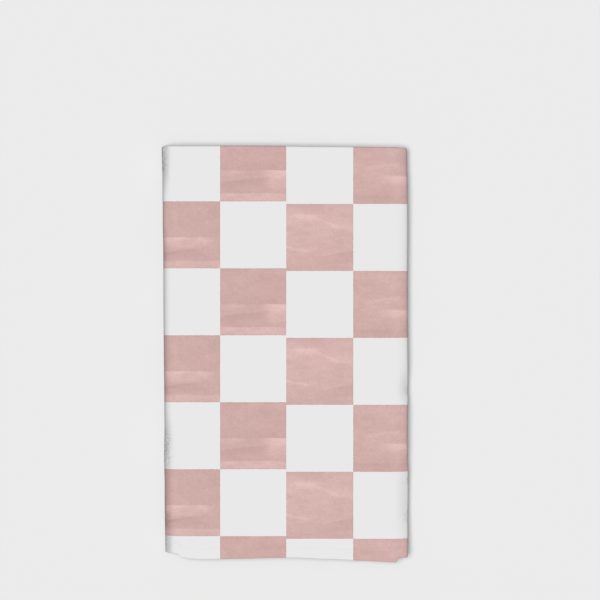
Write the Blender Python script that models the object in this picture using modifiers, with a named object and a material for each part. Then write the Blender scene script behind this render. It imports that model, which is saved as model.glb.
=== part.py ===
"""A cotton tea towel, folded in three along its length and then in three across its width.

The towel is one hemmed panel, so it is one solid. Its middle surface is a grid of points that runs
across and along the cloth. The first fold turns the length into a section of three layers, back and
forth. The second fold wraps that section round two rolls, one at each side of the face, and tucks
both flaps underneath. Solidify then gives the cloth its thickness.

Metres, +Z up. The towel lies on Z = 0 with its face up, its length along Y and its middle over the
origin. "Depth" is measured from the outside of the folded section towards the inside of the towel.
"""

import math
from collections import namedtuple

import bpy
import numpy as np

MM = 0.001
HALF_TURN = math.pi

# The cloth as it was cut and hemmed
CLOTH_WIDTH = 450 * MM
CLOTH_LENGTH = 760 * MM
THICKNESS = 1.0 * MM
GAP = 0.3 * MM

# The first fold: three layers, each one cloth and one gap deeper than the last
LAYERS = 3
PITCH = THICKNESS + GAP
STACK = LAYERS * PITCH - GAP
CREASE_RADIUS = PITCH / 2
LOWER_CREASE_Y = -125.6 * MM

# The second fold: the left flap lies lowest, the right flap on it, and the face on top
RIGHT_FLAP_Z = STACK + GAP
TOP_Z = 2 * RIGHT_FLAP_Z + STACK
LEFT_ROLL = TOP_Z / 2
RIGHT_ROLL = (TOP_Z - RIGHT_FLAP_Z) / 2
RIGHT_SHARE = 222 * MM
LEFT_SHARE = CLOTH_WIDTH - RIGHT_SHARE
FLAP_TUCK = 1.5 * MM
LEFT_FLAP_HEM_Y = -129.4 * MM
RIGHT_FLAP_HEM_Y = -126.8 * MM

# The stretches of cloth in each direction, in the order of their numbers, and the steps of the grid
# in each. The face has a grid line at each row of its hem's table instead.
Stretch = namedtuple("Stretch", "name steps")
ACROSS = (
    Stretch("left flap", 4),
    Stretch("left roll", 7),
    Stretch("face", None),
    Stretch("right roll", 6),
    Stretch("right flap", 4),
)
ALONG = (
    Stretch("front", 14),
    Stretch("top crease", 4),
    Stretch("middle layer", 10),
    Stretch("lower crease", 4),
    Stretch("inner layer", 10),
)

# The outline of the face as it lies, each edge a little uneven: a row for each change of direction
SidePoint = namedtuple("SidePoint", "y x")
LEFT_EDGE = (
    SidePoint(-126 * MM, -76.8 * MM),
    SidePoint(-94 * MM, -76.7 * MM),
    SidePoint(-56 * MM, -77.6 * MM),
    SidePoint(40 * MM, -78.0 * MM),
    SidePoint(133 * MM, -79.1 * MM),
)
RIGHT_EDGE = (
    SidePoint(-129 * MM, 78.2 * MM),
    SidePoint(-81 * MM, 78.7 * MM),
    SidePoint(-24 * MM, 78.4 * MM),
    SidePoint(37 * MM, 77.5 * MM),
    SidePoint(79 * MM, 78.0 * MM),
    SidePoint(130 * MM, 77.5 * MM),
)
EndPoint = namedtuple("EndPoint", "x y")
TOP_EDGE = (
    EndPoint(-73 * MM, 133.0 * MM),
    EndPoint(-22 * MM, 132.8 * MM),
    EndPoint(29 * MM, 132.1 * MM),
    EndPoint(70 * MM, 131.6 * MM),
    EndPoint(74.4 * MM, 131.2 * MM),
)
FACE_HEM = (
    EndPoint(-72.4 * MM, -127.4 * MM),
    EndPoint(-69.8 * MM, -128.2 * MM),
    EndPoint(-67.8 * MM, -129.9 * MM),
    EndPoint(-54 * MM, -131.6 * MM),
    EndPoint(-35 * MM, -131.1 * MM),
    EndPoint(0 * MM, -130.4 * MM),
    EndPoint(29 * MM, -131.5 * MM),
    EndPoint(46 * MM, -132.2 * MM),
    EndPoint(70.4 * MM, -133.6 * MM),
    EndPoint(72.0 * MM, -130.9 * MM),
    EndPoint(74.4 * MM, -130.4 * MM),
)
WIDEST_FACE_STEP = 15 * MM

# Where the stack has settled or stands full, as a share of the height there
Swell = namedtuple("Swell", "x y reach_x reach_y share")
SWELLS = (
    Swell(-8 * MM, 10 * MM, 46 * MM, 84 * MM, -0.055),
    Swell(-70 * MM, 92 * MM, 20 * MM, 40 * MM, 0.025),
    Swell(-70 * MM, -64 * MM, 18 * MM, 36 * MM, 0.030),
    Swell(72 * MM, -88 * MM, 20 * MM, 34 * MM, 0.022),
    Swell(30 * MM, -104 * MM, 30 * MM, 22 * MM, -0.020),
)

PRINTED_PINK = (0.645, 0.434, 0.412, 1.0)
COTTON_ROUGHNESS = 0.9


def clear_scene():
    for obj in list(bpy.data.objects):
        bpy.data.objects.remove(obj, do_unlink=True)


def eased(rows, at):
    """The value at each place, easing from one row of a two-column table to the next."""
    places, values = np.array(sorted(rows)).T
    after = np.clip(np.searchsorted(places, at), 1, len(places) - 1)
    before = after - 1
    share = (at - places[before]) / (places[after] - places[before])
    share = np.clip(share, 0, 1)
    return values[before] + (values[after] - values[before]) * share**2 * (3 - 2 * share)


def face_stations():
    """Places across the face, 0 to 1: one at each row of the hem's table, and more in wide spans."""
    rows = [row.x for row in FACE_HEM]
    places = []
    for start, end in zip(rows, rows[1:]):
        steps = math.ceil((end - start) / WIDEST_FACE_STEP)
        places += [start + (end - start) * step / steps for step in range(steps)]
    places = np.array(places + [rows[-1]])
    return (places - places[0]) / (places[-1] - places[0])


def grid_lines(stretches):
    """The number of its stretch and the place in it, 0 to 1, of every grid line in one direction."""
    numbers = []
    places = []
    for number, stretch in enumerate(stretches):
        if stretch.steps is None:
            shares = face_stations()
        else:
            shares = np.linspace(0, 1, stretch.steps + 1)
        if number:
            shares = shares[1:]
        numbers += [number] * len(shares)
        places += list(shares)
    return np.array(numbers), np.array(places)


def resting_x(across, place):
    """Where a grid line across the cloth lies in plan, before the sides lean."""
    left, right = FACE_HEM[0].x, FACE_HEM[-1].x
    over_face = left + (right - left) * place
    under_face = right - (right - left) * place
    return np.choose(across, (under_face, left, over_face, right, under_face))


def hem_line(across, place, x):
    """Y of the front hem: uneven over the face, set back round the rolls and along the flaps."""
    left, right = FACE_HEM[0].y, FACE_HEM[-1].y
    left_flap = LEFT_FLAP_HEM_Y + (left - LEFT_FLAP_HEM_Y) * place
    right_flap = right + (RIGHT_FLAP_HEM_Y - right) * place
    return np.choose(across, (left_flap, left, eased(FACE_HEM, x), right, right_flap))


def first_fold(along, place, hem, top):
    """Y and depth of points along the cloth, which goes up, back and up again between two creases."""
    top_turn = top - THICKNESS / 2 - CREASE_RADIUS
    lower_turn = LOWER_CREASE_Y + THICKNESS / 2 + CREASE_RADIUS
    used = (top_turn - hem) + (top_turn - lower_turn) + 2 * HALF_TURN * CREASE_RADIUS
    end = lower_turn + CLOTH_LENGTH - used
    out = CREASE_RADIUS * np.sin(HALF_TURN * place)
    y = np.choose(
        along,
        (
            hem + (top_turn - hem) * place,
            top_turn + out,
            top_turn + (lower_turn - top_turn) * place,
            lower_turn - out,
            lower_turn + (end - lower_turn) * place,
        ),
    )
    turning = CREASE_RADIUS * (1 - np.cos(HALF_TURN * place))
    front, middle, inner = (THICKNESS / 2 + layer * PITCH for layer in range(LAYERS))
    depth = np.choose(along, (front, front + turning, middle, middle + turning, inner))
    return y, depth


def second_fold(across, place, y, depth):
    """X and Z of points of the folded section, wrapped round the rolls at the sides of the face."""
    face_left = eased(LEFT_EDGE, y) + LEFT_ROLL
    face_right = eased(RIGHT_EDGE, y) - RIGHT_ROLL
    left_radius = LEFT_ROLL - depth
    right_radius = RIGHT_ROLL - depth
    left_flap = LEFT_SHARE + face_left - HALF_TURN * left_radius
    right_flap = RIGHT_SHARE - face_right - HALF_TURN * right_radius
    out = np.sin(HALF_TURN * place)
    up = np.cos(HALF_TURN * place)
    x = np.choose(
        across,
        (
            face_left + left_flap * (1 - place),
            face_left - left_radius * out,
            face_left + (face_right - face_left) * place,
            face_right + right_radius * out,
            face_right - right_flap * place,
        ),
    )
    z = np.choose(
        across,
        (
            depth,
            LEFT_ROLL - left_radius * up,
            TOP_Z - depth,
            TOP_Z - RIGHT_ROLL + right_radius * up,
            RIGHT_FLAP_Z + depth,
        ),
    )
    return x, z


def settled(x, y, z):
    """Z once the stack has settled. The lowest layer stays level, so the towel lies flat."""
    share = np.zeros_like(z)
    for swell in SWELLS:
        away = ((x - swell.x) / swell.reach_x) ** 2 + ((y - swell.y) / swell.reach_y) ** 2
        share += swell.share * np.exp(-away)
    return z + (z - THICKNESS / 2) * share


def cloth_points():
    """The middle surface of the folded cloth, as an array of rows across by rows along by XYZ."""
    across, across_place = (line[:, None] for line in grid_lines(ACROSS))
    along, along_place = (line[None, :] for line in grid_lines(ALONG))
    plan_x = resting_x(across, across_place)
    hem = hem_line(across, across_place, plan_x)
    is_flap = (across == 0) | (across == len(ACROSS) - 1)
    top = eased(TOP_EDGE, plan_x) - np.where(is_flap, FLAP_TUCK, 0)
    y, depth = first_fold(along, along_place, hem, top)
    x, z = second_fold(across, across_place, y, depth)
    return np.stack([x, y, settled(x, y, z)], axis=-1)


def centred(points):
    """The points moved so that the middle of the towel lies over the origin."""
    flat = points.reshape(-1, 3)
    middle = (flat.min(axis=0) + flat.max(axis=0)) / 2
    return points - [middle[0], middle[1], 0]


def grid_faces(rows, columns):
    """Quads between neighbouring grid lines, turned so that the face of the towel looks up."""
    corner = np.arange(rows * columns).reshape(rows, columns)
    quads = np.stack([corner[:-1, :-1], corner[1:, :-1], corner[1:, 1:], corner[:-1, 1:]], axis=-1)
    return quads.reshape(-1, 4)


def cotton_material():
    material = bpy.data.materials.new("printed cotton")
    material.use_nodes = True
    shader = material.node_tree.nodes["Principled BSDF"]
    shader.inputs["Base Color"].default_value = PRINTED_PINK
    shader.inputs["Roughness"].default_value = COTTON_ROUGHNESS
    shader.inputs["Metallic"].default_value = 0.0
    return material


def build_towel(collection):
    points = centred(cloth_points())
    rows, columns, _ = points.shape
    mesh = bpy.data.meshes.new("folded_towel")
    mesh.from_pydata(points.reshape(-1, 3).tolist(), [], grid_faces(rows, columns).tolist())
    mesh.materials.append(cotton_material())
    mesh.shade_smooth()
    towel = bpy.data.objects.new("folded_towel", mesh)
    collection.objects.link(towel)
    cloth = towel.modifiers.new("cloth thickness", "SOLIDIFY")
    cloth.thickness = THICKNESS
    cloth.offset = 0
    cloth.use_even_offset = True
    cloth.use_quality_normals = True
    return towel


def main():
    clear_scene()
    collection = bpy.data.collections.new("Folded tea towel")
    bpy.context.scene.collection.children.link(collection)
    build_towel(collection)


main()
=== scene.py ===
"""A folded cotton tea towel with a dusty pink and white check, lying face up on a pale floor.

The towel is one hemmed panel of printed plain weave, folded in three along its length and then in
three across its width. It is modelled as one closed sheet: a grid of points for its printed side and
one for its reverse, joined at the hems. Lengths are in metres where nothing says millimetres, and +Y
runs from the open hem of the folded towel to its top crease.
"""

import logging
import math
from dataclasses import dataclass
from enum import Enum, IntEnum
from functools import partial
from typing import NamedTuple, Sequence, TypeVar, Union

import bpy
import numpy as np
from bpy.types import Material, Node, NodeSocket, NodeTree, Object
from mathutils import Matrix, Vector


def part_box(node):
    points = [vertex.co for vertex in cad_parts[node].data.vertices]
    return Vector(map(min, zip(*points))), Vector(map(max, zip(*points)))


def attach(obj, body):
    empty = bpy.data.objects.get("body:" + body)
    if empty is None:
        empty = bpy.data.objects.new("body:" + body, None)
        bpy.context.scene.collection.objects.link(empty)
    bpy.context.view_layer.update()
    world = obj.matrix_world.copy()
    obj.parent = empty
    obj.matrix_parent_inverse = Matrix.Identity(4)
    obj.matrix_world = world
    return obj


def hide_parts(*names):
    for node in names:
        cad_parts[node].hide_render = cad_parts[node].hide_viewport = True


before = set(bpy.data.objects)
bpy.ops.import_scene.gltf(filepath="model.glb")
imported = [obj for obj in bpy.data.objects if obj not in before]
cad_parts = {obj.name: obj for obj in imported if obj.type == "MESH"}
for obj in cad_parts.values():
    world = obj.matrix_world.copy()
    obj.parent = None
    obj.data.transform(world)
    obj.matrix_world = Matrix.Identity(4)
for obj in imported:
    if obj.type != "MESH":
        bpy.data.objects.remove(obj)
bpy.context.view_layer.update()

log = logging.getLogger("tea_towel")

MM = 0.001
HALF_TURN = math.pi

# Blender's Mix node has sockets of the same name for each kind of value, so those for colours are
# told by number.
MIX_A, MIX_B, MIX_RESULT = 6, 7, 2

# A noise texture lies between 0 and 1 about this value.
NOISE_MIDDLE = 0.5

# Makes a MapRange node go by smooth_step's formula.
SMOOTH = {"interpolation_type": "SMOOTHSTEP"}

Array = np.ndarray
Row = TypeVar("Row", bound=tuple)
Input = Union[float, Sequence[float], Node, NodeSocket]
Inputs = Union[Sequence[Input], dict[Union[str, int], Input]]


class Across(IntEnum):
    """The stretches of cloth across its width, in order from its left hem to its right hem."""

    LEFT_FLAP = 0
    LEFT_ROLL = 1
    FACE = 2
    RIGHT_ROLL = 3
    RIGHT_FLAP = 4


class Along(IntEnum):
    """The stretches of cloth along its length, in order from its front hem to its far hem."""

    FRONT = 0
    TOP_CREASE = 1
    MIDDLE = 2
    LOWER_CREASE = 3
    INNER = 4


class Side(Enum):
    """The two sides of the cloth."""

    PRINTED = "printed"
    REVERSE = "reverse"


class Span(NamedTuple):
    """Grid lines between two distances from a stretch's start, no further apart than a step."""

    start: float
    end: float
    step: float


class Lines(NamedTuple):
    """Grid lines: the number of each line's stretch of cloth, and its place in it from 0 to 1."""

    stretch: Array
    place: Array


class SidePoint(NamedTuple):
    """A point of a side edge of the folded towel."""

    y: float
    x: float


class EndPoint(NamedTuple):
    """A point of the hem end or the crease end of the folded towel."""

    x: float
    y: float


class Swell(NamedTuple):
    """A place where the stack has settled, or stands full, by a share of its height there."""

    x: float
    y: float
    reach_x: float
    reach_y: float
    share: float


class Sag(NamedTuple):
    """How far a roll's widest line sags at a place, as a share of its radius; below 0, it stands."""

    y: float
    share: float


class Pucker(NamedTuple):
    """A patch of small puckers on a roll, where the cloth was drawn in as it was turned."""

    y: float
    reach: float
    width: float
    pitch: float
    depth: float


class BrushStroke(NamedTuple):
    """A stroke of wash below its crisp upper edge, in shares of a check's width and height.

    Its strength is above 0 where the dye is paler and below 0 where it is deeper.
    """

    column: int
    side: float
    spread: float
    height: float
    slant: float
    fade: float
    strength: float


class MapPatch(NamedTuple):
    """A rectangle of the map that the looks are baked on."""

    left: float
    right: float
    low: float
    high: float


class Mottle(NamedTuple):
    """Uneven dye: the length and height of its patches in millimetres, and its strength."""

    length_mm: float
    height_mm: float
    strength: float


def table(kind: type[Row], *rows: Sequence[float], lengths: int = 0) -> tuple[Row, ...]:
    """Makes the rows of a table.

    Args:
        kind: The rows' type.
        *rows: The values of each row.
        lengths: How many values at a row's start are written in millimetres and kept in metres.

    Returns:
        The rows.
    """
    return tuple(kind(*(v * MM for v in row[:lengths]), *row[lengths:]) for row in rows)


def linear(colour: str) -> tuple[float, float, float, float]:
    """Turns an sRGB hex colour into linear light.

    Each channel c becomes c / 12.92 up to 0.04045, and ((c + 0.055) / 1.055) ** 2.4 above it.

    Args:
        colour: Six hex digits after a #.

    Returns:
        Red, green, blue and an alpha of 1.
    """
    channels = [int(colour[place : place + 2], 16) / 255 for place in (1, 3, 5)]
    light = [c / 12.92 if c <= 0.04045 else ((c + 0.055) / 1.055) ** 2.4 for c in channels]
    return (*light, 1.0)


def add_node(tree: NodeTree, kind: str, inputs: Inputs, **settings: object) -> Node:
    """Adds a shader node with its settings and links.

    A MapRange node's inputs are its value, the two ends that it goes from and the two it goes to.

    Args:
        tree: The material's node tree.
        kind: The node's type without its ShaderNode prefix, and a dot and its operation if it has one.
        inputs: The inputs in their order, or by name or number. Each is a value, a socket, or a
            node whose first output is linked.
        **settings: The node's own settings.

    Returns:
        The new node.
    """
    kind, _, operation = kind.partition(".")
    node = tree.nodes.new("ShaderNode" + kind)
    if operation:
        node.operation = operation
    for name, value in settings.items():
        setattr(node, name, value)
    named = inputs if isinstance(inputs, dict) else dict(enumerate(inputs))
    for name, value in named.items():
        source = value.outputs[0] if isinstance(value, Node) else value
        if isinstance(source, NodeSocket):
            tree.links.new(source, node.inputs[name])
        else:
            node.inputs[name].default_value = source
    return node


def smooth_step(low: Union[float, Array], high: Union[float, Array], at: Array) -> Array:
    """Goes from 0 at low to 1 at high, as s * s * (3 - 2 * s) of the share s of the way."""
    share = np.clip((at - low) / (high - low), 0, 1)
    return share**2 * (3 - 2 * share)


def eased(rows: Sequence[tuple[float, float]], at: Array) -> Array:
    """Reads a two-column table, going by smooth_step from one row to the next.

    Args:
        rows: Pairs of a place and the value there.
        at: The places to read.

    Returns:
        The value at each place.
    """
    places, values = np.array(sorted(rows)).T
    after = np.clip(np.searchsorted(places, at), 1, len(places) - 1)
    before = after - 1
    share = smooth_step(places[before], places[after], at)
    return values[before] + (values[after] - values[before]) * share


def smooth_noise(x: Array, y: Array, cell: tuple[float, float], seed: int) -> Array:
    """Makes a smooth random surface between 0 and 1.

    Random heights stand at the corners of a grid of cells, and the height inside a cell goes by
    smooth_step from corner to corner, first in x and then in y.

    Args:
        x: Places in x.
        y: Places in y.
        cell: The cells' sizes in x and y.
        seed: Picks the random heights.

    Returns:
        The height at each place.
    """
    size = 512
    heights = np.random.default_rng(seed).random((size, size))
    column, row = np.floor(x / cell[0]).astype(int), np.floor(y / cell[1]).astype(int)
    in_x, in_y = smooth_step(0, 1, x / cell[0] - column), smooth_step(0, 1, y / cell[1] - row)
    near, far = (
        heights[column % size, (row + step) % size] * (1 - in_x)
        + heights[(column + 1) % size, (row + step) % size] * in_x
        for step in (0, 1)
    )
    return near * (1 - in_y) + far * in_y


def grid_lines(stretches: Sequence[Sequence[Span]]) -> Lines:
    """Spaces the grid lines of one direction.

    Args:
        stretches: For each stretch of cloth, spans that follow each other from its start to its end.

    Returns:
        The lines.
    """
    rounding = 1e-6
    numbers, places = [], []
    for number, spans in enumerate(stretches):
        steps = [math.ceil((span.end - span.start) / span.step - rounding) for span in spans]
        lines = [np.linspace(s.start, s.end, n, endpoint=False) for s, n in zip(spans, steps)]
        lines = np.concatenate([*lines, [spans[-1].end]])[min(number, 1) :]
        numbers.append(np.full(len(lines), number))
        places.append((lines - spans[0].start) / (spans[-1].end - spans[0].start))
    return Lines(np.concatenate(numbers), np.concatenate(places))


@dataclass(frozen=True)
class CheckPrint:
    """A large check of watery pink dye on white cotton.

    The dye was brushed on, so its pink is uneven: it has strokes with a crisp upper edge, fine
    bristle marks along them, and a slightly deeper line where it dried at a check's edge. The print
    repeats every four columns, and all the pink checks of a column are alike. Lengths are in
    millimetres, as in the print map. A noise's scale is in patches to the millimetre, and its third
    number sets the columns apart.
    """

    wide_column: float = 42.87
    narrow_column: float = 42.34
    row: float = 42.86
    column_edge: float = 0.77
    row_edge: float = 9.96
    step: float = 1.66
    repeat: int = 4
    depth: float = 0.25
    wobble: float = 0.03
    crisp_edge: float = 0.015
    full_spread: float = 0.3
    wet_scale: tuple[float, float, float] = (0.07, 0.16, 0.1)
    wet_range: tuple[float, float] = (0.40, 0.60)
    wet_least: float = 0.6
    mottle_columns: float = 0.1
    ragged: float = 0.5
    ragged_scale: float = 0.9
    dried_edge: float = 0.9
    dried_strength: float = 0.3
    show_through: float = 0.3
    white: str = "#E9E9E9"
    deep_pink: str = "#C29F9B"
    pink: str = "#D2AFAB"
    pale_pink: str = "#E4C1BD"
    strokes: tuple[BrushStroke, ...] = table(
        BrushStroke,
        (0, 0.5, 1.6, 1.02, 0, 1.8, 0.75),
        (0, 0.2, 0.6, 1.02, 0, 0.19, -0.65),
        (0, 0.95, 0.5, 1.02, 0.1, 0.32, -0.45),
        (0, 0.15, 0.42, 0.85, 0, 0.20, 0.65),
        (0, 0.6, 0.26, 0.75, -0.4, 0.08, 0.70),
        (0, 0.16, 0.30, 0.35, -0.2, 0.09, 0.75),
        (0, 0.9, 0.5, 0.30, 0.2, 0.45, -0.50),
        (1, 0.5, 1.6, 1.02, 0, 1.8, 0.28),
        (1, 0.80, 0.5, 0.42, -0.05, 0.24, 0.90),
        (1, 0.45, 0.4, 0.60, 0.1, 0.14, 0.35),
        (1, 0.55, 0.9, 0.13, 0, 0.16, -0.40),
        (2, 0.45, 0.6, 0.47, 0, 0.26, 1.25),
        (2, 0.35, 0.5, 0.27, 0.1, 0.20, -0.55),
        (2, 0.5, 1.2, 0.12, 0, 0.35, 0.50),
        (3, 0.95, 0.38, 0.47, 0, 0.36, 2.2),
        (3, 0.15, 0.36, 0.47, 0, 0.12, 0.60),
        (3, 0.35, 0.5, 0.33, 0.1, 0.22, -0.6),
        (3, 0.4, 0.9, 0.13, 0, 0.35, 0.80),
        (3, 0.9, 0.25, 0.99, 0, 0.10, 0.40),
    )
    mottles: tuple[Mottle, ...] = table(
        Mottle,
        (26, 13, 0.8), (8, 5, 0.6), (3.4, 2.4, 0.55), (1.3, 1.1, 1.15), (30, 1.4, 0.3), (3, 14, 0.3),
    )

    def paint(self, tree: NodeTree, cloth: Input, reverse: Input) -> Input:
        """Colours the cloth.

        A check is dyed where its column's and row's numbers add up to an odd number.

        Args:
            tree: The material's node tree.
            cloth: The print map.
            reverse: 0 on the printed side and 1 on the other, where only some of the dye shows.

        Returns:
            The colour's socket.
        """
        add = partial(add_node, tree)
        rough = add("TexNoise", {"Vector": cloth, "Scale": self.ragged_scale}).outputs["Color"]
        nudge = add("VectorMath.SUBTRACT", (rough, (NOISE_MIDDLE,) * 3))
        reach = (self.ragged, self.ragged, 0)
        nudged = add("VectorMath.MULTIPLY_ADD", (nudge, reach, cloth))
        place = add("SeparateXYZ", (nudged,)).outputs
        # The dye was laid two columns at a time, a wide one and a narrow one, and each pair stands
        # a step above or below its neighbour.
        two = self.wide_column + self.narrow_column
        in_pairs = add("Math.SUBTRACT", (place["X"], self.column_edge))
        pairs = add("Math.DIVIDE", (in_pairs, two))
        pair = add("Math.FLOOR", (pairs,))
        in_pair = add("Math.FLOORED_MODULO", (in_pairs, two))
        wide_share = add("Math.DIVIDE", (in_pair, self.wide_column))
        narrow = add("Math.GREATER_THAN", (wide_share, 1.0))
        column = add("Math.MULTIPLY_ADD", (pair, 2.0, narrow))
        stepped = add("Math.FLOORED_MODULO", (pair, 2.0))
        level = add("Math.MULTIPLY_ADD", (stepped, self.step, self.row_edge))
        above = add("Math.SUBTRACT", (place["Y"], level))
        rows = add("Math.DIVIDE", (above, self.row))
        row = add("Math.FLOOR", (rows,))
        count = add("Math.ADD", (column, row))
        dyed = add("Math.FLOORED_MODULO", (count, 2.0))

        in_column = add("Math.FRACT", (wide_share,))
        in_row = add("Math.FRACT", (rows,))
        in_repeat = add("Math.FLOORED_MODULO", (column, float(self.repeat)))
        wash = self.wash(tree, in_column, in_row, in_repeat)
        wash = add("Math.SUBTRACT", (wash, self.dried(tree, in_column, in_row)))
        strength = add("MapRange", (wash, -1.0, 1.0))
        pinks = add("ValToRGB", (strength,))
        pinks.color_ramp.elements[0].color = linear(self.deep_pink)
        pinks.color_ramp.elements[1].color = linear(self.pale_pink)
        pinks.color_ramp.elements.new(0.5).color = linear(self.pink)

        kept = add("Math.MULTIPLY_ADD", (reverse, self.show_through - 1, 1.0))
        dye = add("Math.MULTIPLY", (dyed, kept))
        colours = {"Factor": dye, MIX_A: linear(self.white), MIX_B: pinks}
        return add("Mix", colours, data_type="RGBA").outputs[MIX_RESULT]

    def wash(self, tree: NodeTree, in_column: Input, in_row: Input, in_repeat: Input) -> Input:
        """Works out how pale the dye is, from about -1 where it is deep to 1 where it is thin.

        To the mottles it adds each stroke's strength, full below the crisp edge, faded out further
        down and to the sides, and weakened in patches where the cloth was drier.

        Args:
            tree: The material's node tree.
            in_column: The place in a check's width, from 0 to 1.
            in_row: The place in a check's height, from 0 at its foot to 1.
            in_repeat: The number of the check's column in the repeat.

        Returns:
            The paleness.
        """
        add = partial(add_node, tree)
        shares = add("CombineXYZ", (in_column, in_row, in_repeat))
        size = (self.wide_column, self.row, self.row)
        check = add("VectorMath.MULTIPLY", (shares, size))
        wash = -self.depth
        for mottle in self.mottles:
            scale = (1 / mottle.length_mm, 1 / mottle.height_mm, self.mottle_columns)
            at = add("VectorMath.MULTIPLY", (check, scale))
            patches = add("TexNoise", {"Vector": at, "Scale": 1.0, "Detail": 2.0})
            uneven = add("Math.SUBTRACT", (patches, NOISE_MIDDLE))
            wash = add("Math.MULTIPLY_ADD", (uneven, mottle.strength, wash))

        at = add("VectorMath.MULTIPLY", (check, self.wet_scale))
        patches = add("TexNoise", {"Vector": at, "Scale": 1.0, "Detail": 5.0})
        dry, soaked = self.wet_range
        wet = add("MapRange", (patches, dry, soaked, self.wet_least), **SMOOTH)
        height = add("Math.MULTIPLY_ADD", (patches, self.wobble, in_row))
        for stroke in self.strokes:
            off = add("Math.SUBTRACT", (in_column, stroke.side))
            upper = stroke.height + self.wobble / 2
            edge = add("Math.MULTIPLY_ADD", (off, stroke.slant, upper))
            below = add("Math.SUBTRACT", (edge, height))
            crisp = add("MapRange", (below, 0.0, self.crisp_edge), **SMOOTH)
            fading = add("MapRange", (below, 0.0, stroke.fade, stroke.strength, 0.0), **SMOOTH)
            away = add("Math.ABSOLUTE", (off,))
            full = self.full_spread * stroke.spread
            middle = add("MapRange", (away, full, stroke.spread, 1.0, 0.0), **SMOOTH)
            own = add("Math.COMPARE", (in_repeat, float(stroke.column), 0.5))
            mark = crisp
            for factor in (fading, middle, own):
                mark = add("Math.MULTIPLY", (mark, factor))
            wash = add("Math.MULTIPLY_ADD", (mark, wet, wash))
        return wash

    def dried(self, tree: NodeTree, in_column: Input, in_row: Input) -> Input:
        """Finds where the dye dried deeper, along the edges of each check.

        Args:
            tree: The material's node tree.
            in_column: The place in a check's width, from 0 to 1.
            in_row: The place in a check's height, from 0 to 1.

        Returns:
            How much deeper the dye is.
        """
        add = partial(add_node, tree)
        half_check = 0.5
        nearest = half_check
        for place in (in_column, in_row):
            other = add("Math.SUBTRACT", (1.0, place))
            edge = add("Math.MINIMUM", (place, other))
            nearest = add("Math.MINIMUM", (edge, nearest))
        reach = self.dried_edge / self.row
        return add("MapRange", (nearest, 0.0, reach, self.dried_strength, 0.0), **SMOOTH)


@dataclass(frozen=True)
class PlainWeave:
    """Plain weave of soft single cotton yarns, which gives a fine, even, matt grain.

    Lengths are in millimetres, as in the print map, and so are heights.
    """

    # A real yarn is about 0.5 mm wide, which is finer than a pixel, so it is drawn twice as wide.
    yarn: float = 1.0
    yarn_relief: float = 0.014
    slub_length: float = 14.0
    slub_height: float = 0.9
    fibre_size: float = 0.35
    fibre_relief: float = 0.008
    stitch: float = 3.0
    stitch_inset: float = 6.6
    stitch_width: float = 0.32
    stitch_relief: float = 0.10
    crumple_length: float = 3.6
    crumple_width: float = 0.95
    crumple_relief: float = 1.5
    crumple_level: float = 0.15
    roughness: float = 0.9
    roughness_change: float = 0.12
    worn_scale: float = 0.08
    sheen: float = 0.08
    specular: float = 0.2

    def relief(self, tree: NodeTree, cloth: Input, hem: Input, crumpled: Input) -> Node:
        """Raises yarns, loose fibres, hem stitches and the fine crumples between the puckers.

        The yarns' height is sin(pi x / yarn) * sin(pi y / yarn), up where a warp yarn passes over.
        A crumple stands as high as its noise is above crumple_level.

        Args:
            tree: The material's node tree.
            cloth: The print map.
            hem: The hem map: the distance from the nearest hem, and the distance along it.
            crumpled: How crumpled the cloth is, from 0 to about 1.

        Returns:
            A Bump node.
        """
        add = partial(add_node, tree)
        scale = (HALF_TURN / self.yarn,) * 3
        turns = add("VectorMath.MULTIPLY", (cloth, scale))
        waves = add("SeparateXYZ", (add("VectorMath.SINE", (turns,)),)).outputs
        yarns = add("Math.MULTIPLY", (waves["X"], waves["Y"]))
        scale = (1 / self.slub_length, 1 / self.slub_height, 1)
        along = add("VectorMath.MULTIPLY", (cloth, scale))
        slubs = add("TexNoise", {"Vector": along, "Scale": 1.0})
        fullness = add("Math.MULTIPLY", (slubs, 2 * self.yarn_relief))
        fibres = add("TexNoise", {"Vector": cloth, "Scale": 1 / self.fibre_size, "Detail": 1.0})
        loose = add("Math.MULTIPLY", (fibres, self.fibre_relief))
        height = add("Math.MULTIPLY_ADD", (yarns, fullness, loose))

        at_hem = add("SeparateXYZ", (hem,)).outputs
        off_line = add("Math.SUBTRACT", (at_hem["X"], self.stitch_inset))
        off_line = add("Math.ABSOLUTE", (off_line,))
        ends = (0.0, self.stitch_width, self.stitch_relief, 0.0)
        thread = add("MapRange", (off_line, *ends), **SMOOTH)
        needle = add("Math.MULTIPLY", (at_hem["Y"], HALF_TURN / self.stitch))
        for step in ("Math.SINE", "Math.ABSOLUTE"):
            needle = add(step, (needle,))
        height = add("Math.MULTIPLY_ADD", (thread, needle, height))

        scale = (1 / self.crumple_length, 1 / self.crumple_width, 1)
        at = add("VectorMath.MULTIPLY", (cloth, scale))
        crumples = add("TexNoise", {"Vector": at, "Scale": 1.0, "Detail": 1.0})
        crumples = add("Math.SUBTRACT", (crumples, self.crumple_level))
        depth = add("Math.MULTIPLY", (crumpled, self.crumple_relief))
        height = add("Math.MULTIPLY_ADD", (crumples, depth, height))
        return add("Bump", {"Height": height, "Distance": MM})

    def matt(self, tree: NodeTree, cloth: Input) -> Node:
        """Varies the roughness a little, as yarns lie flatter in some places than in others.

        Args:
            tree: The material's node tree.
            cloth: The print map.

        Returns:
            A node that gives the roughness.
        """
        worn = add_node(tree, "TexNoise", {"Vector": cloth, "Scale": self.worn_scale})
        least = self.roughness - self.roughness_change / 2
        return add_node(tree, "Math.MULTIPLY_ADD", (worn, self.roughness_change, least))


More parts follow.
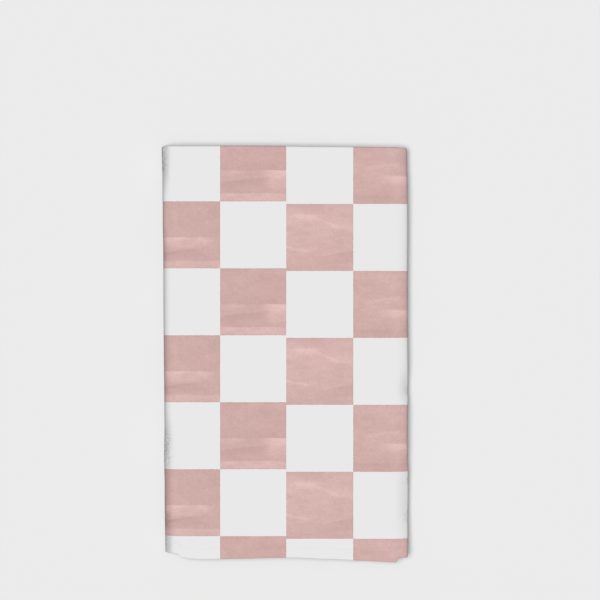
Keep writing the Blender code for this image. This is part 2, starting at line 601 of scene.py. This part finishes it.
@dataclass(frozen=True)
class PrintedCotton:
    """Brush-printed cotton: a matt white cloth whose dye sits in the yarns, not on them."""

    pattern: CheckPrint = CheckPrint()
    weave: PlainWeave = PlainWeave()
    print_map: str = "print"
    hem_map: str = "hem"
    reverse_attribute: str = "reverse"
    crumpled_attribute: str = "crumpled"

    def material(self) -> Material:
        """Makes the material.

        Returns:
            The material, whose maps and attributes are those that this class names.
        """
        material = bpy.data.materials.new("brush_printed_plain_weave_cotton")
        material.use_nodes = True
        tree = material.node_tree
        shader = tree.nodes["Principled BSDF"]
        cloth = add_node(tree, "UVMap", {}, uv_map=self.print_map)
        hem = add_node(tree, "UVMap", {}, uv_map=self.hem_map)
        side = add_node(tree, "Attribute", {}, attribute_name=self.reverse_attribute)
        crumpled = add_node(tree, "Attribute", {}, attribute_name=self.crumpled_attribute)
        colour = self.pattern.paint(tree, cloth, side.outputs["Fac"])
        tree.links.new(colour, shader.inputs["Base Color"])
        tree.links.new(self.weave.matt(tree, cloth).outputs[0], shader.inputs["Roughness"])
        relief = self.weave.relief(tree, cloth, hem, crumpled.outputs["Fac"])
        tree.links.new(relief.outputs[0], shader.inputs["Normal"])
        shader.inputs["Sheen Weight"].default_value = self.weave.sheen
        shader.inputs["Specular IOR Level"].default_value = self.weave.specular
        return material


@dataclass
class FoldedTowel:
    """The tea towel: one hemmed cotton panel, folded in three both ways.

    Depth is measured from the outside of the section that the first fold makes towards the inside
    of the towel. Lift is measured from the cloth's middle surface towards its printed side.
    """

    name: str = "tea_towel"
    finish: PrintedCotton = PrintedCotton()

    # The cloth as it was cut and hemmed
    width: float = 450 * MM
    length: float = 760 * MM
    printed_lift: float = 0.5 * MM
    reverse_lift: float = -0.2 * MM
    hem_reverse_lift: float = -0.55 * MM
    hem: float = 8 * MM
    hem_round: float = 0.45 * MM
    hem_step_out: float = 0.6 * MM
    hem_step_in: float = 0.4 * MM
    ripple_height: float = 0.1 * MM
    ripple_cell: float = 5 * MM
    ripple_shift: float = 1.0
    ripple_seed: int = 5
    stitch_inset: float = 6.6 * MM
    stitch_groove: float = 0.08 * MM
    stitch_reach: float = 0.5 * MM

    # The first fold: three layers
    pitch: float = 1.3 * MM
    outer_depth: float = 0.5 * MM
    crease_radius: float = 0.65 * MM
    crease_set_back: float = 1.15 * MM
    lower_crease_y: float = -125.6 * MM

    # The second fold: the left flap lies lowest, the right flap on it, and the face on top
    right_flap_z: float = 3.9 * MM
    top_z: float = 11.4 * MM
    left_roll: float = 5.7 * MM
    right_roll: float = 3.75 * MM
    right_roll_rise: float = 0.4
    left_share: float = 228 * MM
    flap_tuck: float = 1.5 * MM
    left_flap_hem_y: float = -129.4 * MM
    right_flap_hem_y: float = -126.8 * MM

    # The outline of the face as it lies
    left_edge: tuple[SidePoint, ...] = table(
        SidePoint,
        (-126, -77.2), (-104, -77.35), (-86, -77.4), (-64, -77.85), (-45, -77.55),
        (40, -78.15), (92, -78.45), (104, -78.75), (133, -79.5),
        lengths=2,
    )
    right_edge: tuple[SidePoint, ...] = table(
        SidePoint,
        (-129, 78.75), (-104, 78.85), (-80, 79.05), (-66, 78.6), (-44, 78.55),
        (-26, 78.9), (38, 78.45), (85, 78.65), (130, 78.1),
        lengths=2,
    )
    top_edge: tuple[EndPoint, ...] = table(
        EndPoint,
        (-73, 133.0), (-22, 133.1), (29, 132.5), (70, 132.0), (74.4, 131.8),
        lengths=2,
    )
    face_hem: tuple[EndPoint, ...] = table(
        EndPoint,
        (-72.4, -127.8), (-68.9, -128.5), (-67.9, -130.4), (-62, -131.4), (-54, -131.9),
        (-35, -131.5), (0, -130.75), (29, -131.8), (46, -132.6), (70.4, -133.75),
        (72.0, -131.2), (74.4, -130.8),
        lengths=2,
    )

    # How the stack and its rolls have settled
    swells: tuple[Swell, ...] = table(
        Swell,
        (-8, 10, 46, 84, -0.055), (-70, 92, 20, 40, 0.025), (-70, -64, 18, 36, 0.030),
        (72, -88, 20, 34, 0.022), (30, -104, 30, 22, -0.020), (-80, 127, 5.0, 15, -0.33),
        (-80, -61, 6.5, 17, -0.32), (-80, -88, 6.5, 16, -0.08), (-80, -122, 6.5, 20, -0.34),
        (80.5, 40, 5.5, 130, -0.24), (80.5, 126, 6.5, 12, -0.18), (80.5, -22, 5.5, 9, -0.30),
        (80.5, -96, 6.5, 30, -0.35),
        lengths=4,
    )
    left_sag: tuple[Sag, ...] = table(
        Sag,
        (-133, 0.30), (-112, 0.25), (-97, 0.05), (-76, 0.05), (-66, 0.25), (-52, 0.20),
        (-34, 0.0), (70, 0.0), (84, -0.35), (100, -0.20), (107, 0.0), (117, 0.38), (133, 0.38),
        lengths=1,
    )

    # Patches of puckers, and how their valleys wander and break into dents
    left_puckers: tuple[Pucker, ...] = table(
        Pucker,
        (124, 12, 5, 3.4, 0.85), (-60, 18, 8, 3.0, 0.70),
        (-102, 13, 7, 2.8, 0.50), (-121, 6, 8, 3.0, 0.45),
        lengths=5,
    )
    right_puckers: tuple[Pucker, ...] = table(
        Pucker,
        (-23.5, 4.5, 6, 2.4, 0.50), (-81.5, 4, 8, 2.4, 0.50), (-105, 6, 8, 2.6, 0.50),
        lengths=5,
    )
    left_pucker_places: tuple[float, float] = (0.52, 0.68)
    right_pucker_places: tuple[float, float] = (0.48, 0.32)
    full_width: float = 0.3
    full_reach: float = 0.35
    ridge_share: float = 0.3
    undented_share: float = 0.35
    wander: float = 0.9
    wander_cell: tuple[float, float] = (6 * MM, 7 * MM)
    wander_seed: int = 1
    dent_range: tuple[float, float] = (0.2, 0.7)
    dent_cell: tuple[float, float] = (3.2 * MM, 2.8 * MM)
    dent_seed: int = 11

    # The map that the looks are baked on: where each stretch across starts, and for each stretch
    # along the patch it fills
    bake_columns: tuple[float, ...] = (0, 0.18, 0.23, 0.77, 0.82, 1)
    printed_patches: tuple[MapPatch, ...] = table(
        MapPatch,
        (0, 1, 0, 0.60), (0, 1, 0.60, 0.62),
        (0, 0.49, 0.64, 0.80), (0, 0.49, 0.80, 0.81), (0, 0.49, 0.81, 0.97),
    )
    reverse_patches: tuple[MapPatch, ...] = table(
        MapPatch,
        (0.51, 1, 0.64, 0.75), (0.51, 1, 0.75, 0.755), (0.51, 1, 0.755, 0.86),
        (0.51, 1, 0.86, 0.865), (0.51, 1, 0.865, 0.97),
    )
    bake_strip: MapPatch = MapPatch(0, 1, 0.985, 1)

    # Grid lines: beside a hem from its edge to the plain cloth, and in a crease; then the steps
    # between the other lines, the widths of the bands beside the rolls, and the stretches' lengths
    rim: tuple[Span, ...] = table(
        Span, (0, 0.1, 0.1), (0.1, 0.6, 0.25), (0.6, 5.6, 2.5), (5.6, 8.6, 0.5), lengths=3
    )
    crease: tuple[Span, ...] = table(Span, (0, 2, 0.25), lengths=3)
    fine_step: float = 0.5 * MM
    pucker_step: float = 0.55 * MM
    roll_step: float = 0.85 * MM
    band_step: float = 1 * MM
    flap_band_step: float = 2 * MM
    front_step: float = 2.4 * MM
    layer_step: float = 8 * MM
    flap_step: float = 16 * MM
    fine_band: float = 5 * MM
    left_band: float = 9 * MM
    right_band: float = 8 * MM
    flap_band: float = 10 * MM
    flap_length: float = 143 * MM
    layer_length: float = 257 * MM
    inner_length: float = 233 * MM

    def far_rim(self, length: float) -> list[Span]:
        """The rim's grid lines at the far end of a stretch of this length."""
        return [Span(length - s.end, length - s.start, s.step) for s in reversed(self.rim)]

    def across_lines(self) -> Lines:
        """Spaces the grid lines across the cloth: fine at the hems, on the rolls and beside them.

        Returns:
            The lines.
        """
        rim_end = self.rim[-1].end
        left, right = self.face_hem[0].x, self.face_hem[-1].x
        widest, round_left = HALF_TURN / 2 * self.left_roll, HALF_TURN * self.left_roll
        left_flap = (*self.rim, Span(rim_end, self.flap_length, self.flap_step))
        left_roll = (Span(0, widest, self.roll_step), Span(widest, round_left, self.fine_step))
        face = (
            Span(left, left + self.fine_band, self.fine_step),
            Span(left + self.fine_band, left + self.left_band, self.band_step),
            Span(left + self.left_band, right - self.right_band, self.layer_step),
            Span(right - self.right_band, right - self.fine_band, self.band_step),
            Span(right - self.fine_band, right, self.fine_step),
        )
        right_roll = (Span(0, HALF_TURN * self.right_roll, self.roll_step),)
        right_flap = (
            Span(0, self.flap_band, self.flap_band_step),
            Span(self.flap_band, self.flap_length - rim_end, self.flap_step),
            *self.far_rim(self.flap_length),
        )
        return grid_lines((left_flap, left_roll, face, right_roll, right_flap))

    def along_lines(self) -> Lines:
        """Spaces the grid lines along the cloth: fine at the hems, in the creases and at the puckers.

        Returns:
            The lines.
        """
        hem = eased(self.face_hem, 0.0)
        end = max(point.y for point in self.top_edge) - self.crease_set_back - hem
        front = [*self.rim]
        for patch in sorted((*self.left_puckers, *self.right_puckers)):
            low, high = patch.y - patch.reach - hem, patch.y + patch.reach - hem
            if low > front[-1].end:
                front.append(Span(front[-1].end, low, self.front_step))
            if high > front[-1].end:
                front.append(Span(front[-1].end, min(high, end), self.pucker_step))
        front.append(Span(front[-1].end, end, self.band_step))
        middle = (Span(0, self.layer_length, self.layer_step),)
        plain = Span(0, self.inner_length - self.rim[-1].end, self.layer_step)
        inner = (plain, *self.far_rim(self.inner_length))
        return grid_lines((front, self.crease, middle, self.crease, inner))

    def end_lines(self, across: Lines) -> tuple[Array, Array]:
        """Finds the front hem and the outside of the top crease.

        The hem is uneven over the face and set back round the rolls and along the flaps, and the
        crease is tucked in a little on the flaps.

        Args:
            across: The grid lines across the cloth.

        Returns:
            Y of the hem and Y of the crease.
        """
        stretch, place = across
        left, right = self.face_hem[0], self.face_hem[-1]
        over_face = left.x + (right.x - left.x) * place
        under_face = right.x - (right.x - left.x) * place
        left_flap = self.left_flap_hem_y + (left.y - self.left_flap_hem_y) * place
        right_flap = right.y + (self.right_flap_hem_y - right.y) * place
        face_hem = eased(self.face_hem, over_face)
        hem = np.choose(stretch, (left_flap, left.y, face_hem, right.y, right_flap))
        plan_x = np.choose(stretch, (under_face, left.x, over_face, right.x, under_face))
        is_flap = (stretch == Across.LEFT_FLAP) | (stretch == Across.RIGHT_FLAP)
        return hem, eased(self.top_edge, plan_x) - np.where(is_flap, self.flap_tuck, 0)

    def first_fold(self, along: Lines, hem: Array, top: Array, lift: Array) -> tuple[Array, ...]:
        """Lays the cloth up, back and up again between the top crease and the lower crease.

        In a crease of radius r, place p turns the cloth by pi p: it goes out by r sin(pi p) and
        deeper by r (1 - cos(pi p)). The printed side looks out of the top crease and into the
        lower one.

        Args:
            along: The grid lines along the cloth.
            hem: Y of the front hem.
            top: Y of the top crease's outside.
            lift: The lift of the point.

        Returns:
            Y, the cloth's depth, the point's own depth, and the distance along the cloth, which is
            Y on the front layer.
        """
        radius = self.crease_radius
        top_turn = top - self.crease_set_back
        lower_turn = self.lower_crease_y + self.crease_set_back
        front, middle, inner = (self.outer_depth + layer * self.pitch for layer in range(3))
        run_top = top_turn + HALF_TURN * radius
        run_lower = run_top + (top_turn - lower_turn)
        run_inner = run_lower + HALF_TURN * radius
        end = lower_turn + self.length - (run_inner - hem)
        stretch, place = along
        sine, cosine = np.sin(HALF_TURN * place), np.cos(HALF_TURN * place)
        turning = radius * (1 - cosine)
        front_y = hem + (top_turn - hem) * place
        y = (
            front_y,
            top_turn + (radius + lift) * sine,
            top_turn + (lower_turn - top_turn) * place,
            lower_turn - (radius - lift) * sine,
            lower_turn + (end - lower_turn) * place,
        )
        depth = (front, front + turning, middle, middle + turning, inner)
        rise = (-1.0, -cosine, 1.0, cosine, -1.0)
        run = (
            front_y,
            top_turn + HALF_TURN * radius * place,
            run_top + (top_turn - lower_turn) * place,
            run_lower + HALF_TURN * radius * place,
            run_inner + (end - lower_turn) * place,
        )
        y, depth, rise, run = (np.choose(stretch, values) for values in (y, depth, rise, run))
        return y, depth, depth + rise * lift, run

    def second_fold(
        self, across: Lines, y: Array, depth: Array, own_depth: Array
    ) -> tuple[Array, ...]:
        """Wraps the section round the rolls at the sides of the face and tucks its flaps under.

        On a roll of radius R, cloth at depth d turns on radius r = R - d. The right roll's widest
        line stands high, as place p lifts the cloth by right_roll_rise * r * sin(pi p) ** 2. In the
        same way left_sag lowers the left roll's where it is above 0 and lifts it where it is below.
        Every layer keeps its own length, so a deeper one reaches further along its flap.

        Args:
            across: The grid lines across the cloth.
            y: Y of the point.
            depth: The cloth's depth.
            own_depth: The point's own depth.

        Returns:
            X, Z and the distance across the cloth, which is X on the face.
        """
        face_left = eased(self.left_edge, y) + self.left_roll
        face_right = eased(self.right_edge, y) - self.right_roll
        left_turn = HALF_TURN * (self.left_roll - depth)
        right_turn = HALF_TURN * (self.right_roll - depth)
        left_flap = self.left_share + face_left - left_turn
        right_flap = self.width - self.left_share - face_right - right_turn
        stretch, place = across
        sine, cosine = np.sin(HALF_TURN * place), np.cos(HALF_TURN * place)
        left_radius, right_radius = self.left_roll - own_depth, self.right_roll - own_depth
        over_face = face_left + (face_right - face_left) * place
        left_z = self.left_roll - left_radius * (cosine + eased(self.left_sag, y) * sine**2)
        right_up = right_radius * (cosine + self.right_roll_rise * sine**2)
        x = (
            face_left + left_flap * (1 - place),
            face_left - left_radius * sine,
            over_face,
            face_right + right_radius * sine,
            face_right - right_flap * place,
        )
        z = (
            own_depth,
            left_z,
            self.top_z - own_depth,
            self.top_z - self.right_roll + right_up,
            self.right_flap_z + own_depth,
        )
        girth = (
            left_flap * place - self.left_share,
            face_left - left_turn * (1 - place),
            over_face,
            face_right + right_turn * place,
            face_right + right_turn + right_flap * place,
        )
        return tuple(np.choose(stretch, values) for values in (x, z, girth))

    def settled(self, x: Array, y: Array, z: Array) -> Array:
        """Lets the stack settle.

        The height above the lowest layer's middle changes by the sum of each swell's
        share * exp(-((x - sx) / rx) ** 2 - ((y - sy) / ry) ** 2), so the towel lies flat.

        Args:
            x: X of the point.
            y: Y of the point.
            z: Its Z before the stack settles.

        Returns:
            Its Z afterwards.
        """
        share = np.zeros_like(z)
        for swell in self.swells:
            away = ((x - swell.x) / swell.reach_x) ** 2 + ((y - swell.y) / swell.reach_y) ** 2
            share += swell.share * np.exp(-away)
        return z + np.maximum(z - self.outer_depth, 0) * share

    def puckers(self, across: Lines, x: Array, y: Array) -> tuple[Array, Array]:
        """Finds the depth of the puckers, on the rolls' upper side and on the face beside it.

        Valleys cross the roll at about the patch's pitch p: their shape is
        0.5 + 0.5 cos(2 pi (y / p + w)), where the wander w is smooth noise, and more noise breaks
        them into short dents. Ridges sink by ridge_share of the patch's depth, and cloth between
        the dents by undented_share. The depth is full over full_width and full_reach of the patch.

        Args:
            across: The grid lines across the cloth.
            x: X of the point.
            y: Y of the point.

        Returns:
            The depth at each point, and how crumpled the cloth is there, from 0 to about 1.
        """
        stretch, place = across
        depth, crumpled = np.zeros((2, *np.broadcast(stretch, x).shape))
        left_in = x - eased(self.left_edge, y)
        right_in = eased(self.right_edge, y) - x
        on_left = smooth_step(*self.left_pucker_places, place)
        on_right = smooth_step(*self.right_pucker_places, place)
        sides = (
            (self.left_puckers, left_in, np.choose(stretch, (0.0, on_left, 1.0, 0.0, 0.0))),
            (self.right_puckers, right_in, np.choose(stretch, (0.0, 0.0, 1.0, on_right, 0.0))),
        )
        for number, (patches, inward, upper) in enumerate(sides):
            wander = smooth_noise(inward, y, self.wander_cell, self.wander_seed + number)
            dents = smooth_noise(inward, y, self.dent_cell, self.dent_seed + number)
            dents = smooth_step(*self.dent_range, dents)
            dents = self.undented_share + (1 - self.undented_share) * dents
            for patch in patches:
                phase = 2 * HALF_TURN * (y / patch.pitch + self.wander * wander)
                valley = 0.5 + 0.5 * np.cos(phase)
                valley = self.ridge_share + (1 - self.ridge_share) * valley
                off_patch = np.abs(y - patch.y)
                near_edge = smooth_step(patch.width, self.full_width * patch.width, inward)
                in_patch = smooth_step(patch.reach, self.full_reach * patch.reach, off_patch)
                within = near_edge * in_patch * upper
                depth += patch.depth * valley * dents * within
                crumpled = np.maximum(crumpled, within * patch.depth / MM)
        return depth, crumpled

    def lift(self, side: Side, from_hem: Array, ripple: Array) -> Array:
        """Works out the lift of one side of the cloth.

        Both sides turn in to meet at the hem's rounded edge. There, at a distance e from the edge
        and with a rounding r, each drops by r (1 - sqrt(1 - (1 - e / r) ** 2)). The doubled cloth
        ends in a slope about the hem's inner line, and its ripple presses it in.

        Args:
            side: The side of the cloth.
            from_hem: The distance from the nearest hem's edge.
            ripple: The hem's own small waves, between 0 and 1.

        Returns:
            The lift at each point.
        """
        near = 1 - np.clip(from_hem / self.hem_round, 0, 1)
        drop = self.hem_round * (1 - np.sqrt(1 - near**2))
        off_stitches = np.abs(from_hem - self.stitch_inset) / self.stitch_reach
        drop = drop + self.stitch_groove * np.clip(1 - off_stitches, 0, 1)
        in_hem = smooth_step(self.hem + self.hem_step_out, self.hem - self.hem_step_in, from_hem)
        if side is Side.PRINTED:
            return self.printed_lift - drop - in_hem * self.ripple_height * ripple
        thicker = self.hem_reverse_lift - self.reverse_lift
        return self.reverse_lift + in_hem * thicker + drop

    def side_points(self, side: Side) -> tuple[Array, Array, Array, Array]:
        """Works out one side of the cloth.

        Args:
            side: The side of the cloth.

        Returns:
            The points, the print map, the hem map and how crumpled the cloth is, each by line
            across and line along. The maps are in millimetres.
        """
        across = Lines(*(values[:, None] for values in self.across_lines()))
        along = Lines(*(values[None, :] for values in self.along_lines()))
        hem, top = self.end_lines(across)

        def folded(lift: Union[float, Array], sunk: Union[float, Array]) -> tuple[Array, ...]:
            """Folds the cloth's points.

            Args:
                lift: How far they stand above the cloth's middle surface.
                sunk: How far they have sunk into the towel.

            Returns:
                X, Y, Z and the distances across and along the cloth.
            """
            y, depth, own_depth, run = self.first_fold(along, hem, top, lift)
            x, z, girth = self.second_fold(across, y, depth, own_depth + sunk)
            return x, y, z, girth, run

        x, y, _, girth, run = folded(0.0, 0.0)
        to_sides = np.minimum(girth + self.left_share, self.width - self.left_share - girth)
        to_ends = np.minimum(run - hem, self.length - (run - hem))
        from_hem = np.minimum(to_sides, to_ends)
        along_hem = np.where(to_sides < to_ends, run, girth)
        shifted = (girth + self.ripple_shift, run + self.ripple_shift)
        ripple = smooth_noise(*shifted, (self.ripple_cell,) * 2, self.ripple_seed)
        # Only the front layer is puckered, down to just above the layer beneath it
        share = np.choose(along.stretch, (1.0, 1.0 - along.place, 0.0, 0.0, 0.0))
        pucker, crumpled = self.puckers(across, x, y)
        crumpled = np.where(along.stretch == Along.FRONT, crumpled, 0)[..., None]
        x, y, z, _, _ = folded(self.lift(side, from_hem, ripple), share * pucker)
        points = np.stack([x, y, self.settled(x, y, z)], axis=-1)
        print_map, hem_map = np.stack([girth, run], -1), np.stack([from_hem, along_hem], -1)
        return points, print_map / MM, hem_map / MM, crumpled

    def bake_map(self, ring_length: int) -> Array:
        """Lays the faces out on one square for the bake, with most of it for what shows.

        Each stretch of cloth fills its own patch, and the thin faces round the hems a strip.

        Args:
            ring_length: The number of faces round the hems.

        Returns:
            U and V for the four corners of each face: printed side, reverse, then hems.
        """

        def ends(lines: Lines) -> tuple[Array, Array, Array]:
            """The stretch between each two grid lines, and the lines' places in it."""
            same = lines.stretch[:-1] == lines.stretch[1:]
            return lines.stretch[1:], np.where(same, lines.place[:-1], 0.0), lines.place[1:]

        column, left, right = ends(self.across_lines())
        row, low, high = ends(self.along_lines())
        start, width = self.bake_columns[:-1], np.diff(self.bake_columns)
        left, right = (np.take(start, column) + np.take(width, column) * x for x in (left, right))
        sides = []
        for side_patches in (self.printed_patches, self.reverse_patches):
            patches = np.array(side_patches)[row].T
            u = [patches[0] + (patches[1] - patches[0]) * x[:, None] for x in (left, right)]
            v = [patches[2] + (patches[3] - patches[2]) * y for y in (low, high)]
            v = [np.broadcast_to(y, u[0].shape) for y in v]
            corners = ((u[0], v[0]), (u[1], v[0]), (u[1], v[1]), (u[0], v[1]))
            corners = np.stack([np.stack(corner, -1) for corner in corners], 2)
            sides.append(corners.reshape(-1, 4, 2))
        sides[1] = sides[1][:, ::-1]
        ring = np.linspace(0, 1, ring_length + 1)
        low, high = self.bake_strip.low, self.bake_strip.high
        corners = ((ring[1:], low), (ring[:-1], low), (ring[:-1], high), (ring[1:], high))
        hems = [np.stack([u, np.full(ring_length, v)], -1) for u, v in corners]
        return np.concatenate([*sides, np.stack(hems, 1)])

    def build(self) -> Object:
        """Makes the towel's closed mesh, centred on the middle of the folded towel's plan.

        Returns:
            The towel.
        """
        sides = [self.side_points(side) for side in Side]
        points, print_map, hem_map, crumpled = (
            np.concatenate([part.reshape(-1, part.shape[-1]) for part in parts])
            for parts in zip(*sides)
        )
        rows, columns = sides[0][0].shape[:2]
        low, high = (np.array(corner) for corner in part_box("folded_towel"))
        middle = (low + high) / 2 - (points.min(axis=0) + points.max(axis=0)) / 2
        points = points + [middle[0], middle[1], 0]

        corner = np.arange(rows * columns).reshape(rows, columns)
        printed = (corner[:-1, :-1], corner[1:, :-1], corner[1:, 1:], corner[:-1, 1:])
        printed = np.stack(printed, axis=-1).reshape(-1, 4)
        reverse = printed[:, ::-1] + rows * columns
        ring = (corner[:-1, 0], corner[-1, :-1], corner[:0:-1, -1], corner[0, :0:-1])
        ring = np.concatenate(ring)
        after = np.roll(ring, -1)
        edge = np.stack([after, ring, ring + rows * columns, after + rows * columns], axis=-1)
        faces = np.concatenate([printed, reverse, edge])

        mesh = bpy.data.meshes.new(self.name)
        mesh.from_pydata(points.tolist(), [], faces.tolist())
        maps = ((self.finish.print_map, print_map), (self.finish.hem_map, hem_map))
        for map_name, values in maps:
            layer = mesh.uv_layers.new(name=map_name)
            layer.data.foreach_set("uv", values[faces.ravel()].ravel())
        bake_layer = mesh.uv_layers.new(name="OFBake")
        bake_layer.data.foreach_set("uv", self.bake_map(len(ring)).ravel())
        for name, values in (
            (self.finish.reverse_attribute, np.repeat([0.0, 1.0], rows * columns)),
            (self.finish.crumpled_attribute, crumpled.ravel()),
        ):
            mesh.attributes.new(name, "FLOAT", "POINT").data.foreach_set("value", values)
        mesh.materials.append(self.finish.material())
        mesh.shade_smooth()
        towel = bpy.data.objects.new(self.name, mesh)
        bpy.context.scene.collection.objects.link(towel)
        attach(towel, "root")
        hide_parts("folded_towel")
        return towel


@dataclass
class Floor:
    """A sheet of pale matt paper, wide enough to fill every view, which gives no highlight."""

    name: str = "floor"
    side: float = 24.0
    colour: str = "#EBEBEB"
    roughness: float = 1.0
    specular: float = 0.0

    def build(self) -> Object:
        """Lays the sheet level at Z = 0, with its middle over the origin.

        Returns:
            The floor.
        """
        half = self.side / 2
        mesh = bpy.data.meshes.new(self.name)
        corners = [(-half, -half, 0), (half, -half, 0), (half, half, 0), (-half, half, 0)]
        mesh.from_pydata(corners, [], [(0, 1, 2, 3)])
        material = bpy.data.materials.new("matt_paper")
        material.use_nodes = True
        shader = material.node_tree.nodes["Principled BSDF"]
        shader.inputs["Base Color"].default_value = linear(self.colour)
        shader.inputs["Roughness"].default_value = self.roughness
        shader.inputs["Specular IOR Level"].default_value = self.specular
        mesh.materials.append(material)
        sheet = bpy.data.objects.new(self.name, mesh)
        # The cloth's sides are as dark as if the floor threw no light back on them
        sheet.visible_diffuse = False
        bpy.context.scene.collection.objects.link(sheet)
        return sheet


@dataclass(frozen=True)
class SoftLamp:
    """A wide, distant lamp that lights one thing only, as a studio's screens allow.

    Its width and leans are in radians.
    """

    name: str
    strength: float
    width: float
    lean_left: float
    lean_front: float

    def hang(self, lit: Object) -> None:
        """Hangs the lamp.

        Args:
            lit: What it lights.
        """
        data = bpy.data.lights.new(self.name, "SUN")
        data.energy = self.strength
        data.angle = self.width
        lamp = bpy.data.objects.new(self.name, data)
        lamp.rotation_euler = (self.lean_front, -self.lean_left, 0)
        bpy.context.scene.collection.objects.link(lamp)
        receivers = bpy.data.collections.new("lit_by_" + self.name)
        receivers.objects.link(lit)
        lamp.light_linking.receiver_collection = receivers


@dataclass
class Studio:
    """Plain soft light in a pale room: the cloth is lit from above and the floor from the left."""

    over_cloth: SoftLamp = SoftLamp(
        "cloth_lamp", strength=2.70, width=math.radians(26), lean_left=0.0, lean_front=0.0
    )
    over_floor: SoftLamp = SoftLamp(
        "floor_lamp", strength=2.76, width=math.radians(40), lean_left=math.radians(10),
        lean_front=math.radians(1.5),
    )
    room_strength: float = 0.14
    room_colour: str = "#FFFFFF"

    def light(self, floor: Object, towel: Object) -> None:
        """Hangs the lamps and lights the room.

        Args:
            floor: The floor.
            towel: The towel on it.
        """
        self.over_cloth.hang(towel)
        self.over_floor.hang(floor)
        world = bpy.data.worlds.new("pale_room")
        world.use_nodes = True
        background = world.node_tree.nodes["Background"]
        background.inputs["Color"].default_value = linear(self.room_colour)
        background.inputs["Strength"].default_value = self.room_strength
        bpy.context.scene.world = world
        bpy.context.scene.view_settings.view_transform = "Standard"


@dataclass
class PhotoCamera:
    """A long lens straight above the towel, which lies left of the picture's middle and below it."""

    lens: float = 135.0
    sensor: float = 36.0
    field: float = 384 * MM
    aim_x: float = 9.8 * MM
    aim_y: float = 34.8 * MM
    aim_z: float = 11.4 * MM
    reach: float = 100.0

    def build(self) -> Object:
        """Hangs the camera so that its picture is field metres wide at the height of the face.

        Returns:
            The camera.
        """
        data = bpy.data.cameras.new("camera")
        data.lens = self.lens
        data.sensor_width = self.sensor
        data.clip_end = self.reach
        camera = bpy.data.objects.new("camera", data)
        height = self.aim_z + self.field * self.lens / self.sensor
        camera.location = (self.aim_x, self.aim_y, height)
        bpy.context.scene.collection.objects.link(camera)
        bpy.context.scene.camera = camera
        return camera


def main() -> None:
    """Builds the camera, the light, the floor and the towel."""
    logging.basicConfig(level=logging.INFO, format="%(name)s: %(message)s")
    camera = PhotoCamera().build()
    floor = Floor().build()
    log.info("made %s and %s", camera.name, floor.name)
    design = FoldedTowel()
    towel = design.build()
    log.info("made %s, %d faces", towel.name, len(towel.data.polygons))
    Studio().light(floor, towel)
    log.info("lit the floor and the towel")


if __name__ == "__main__":
    main()
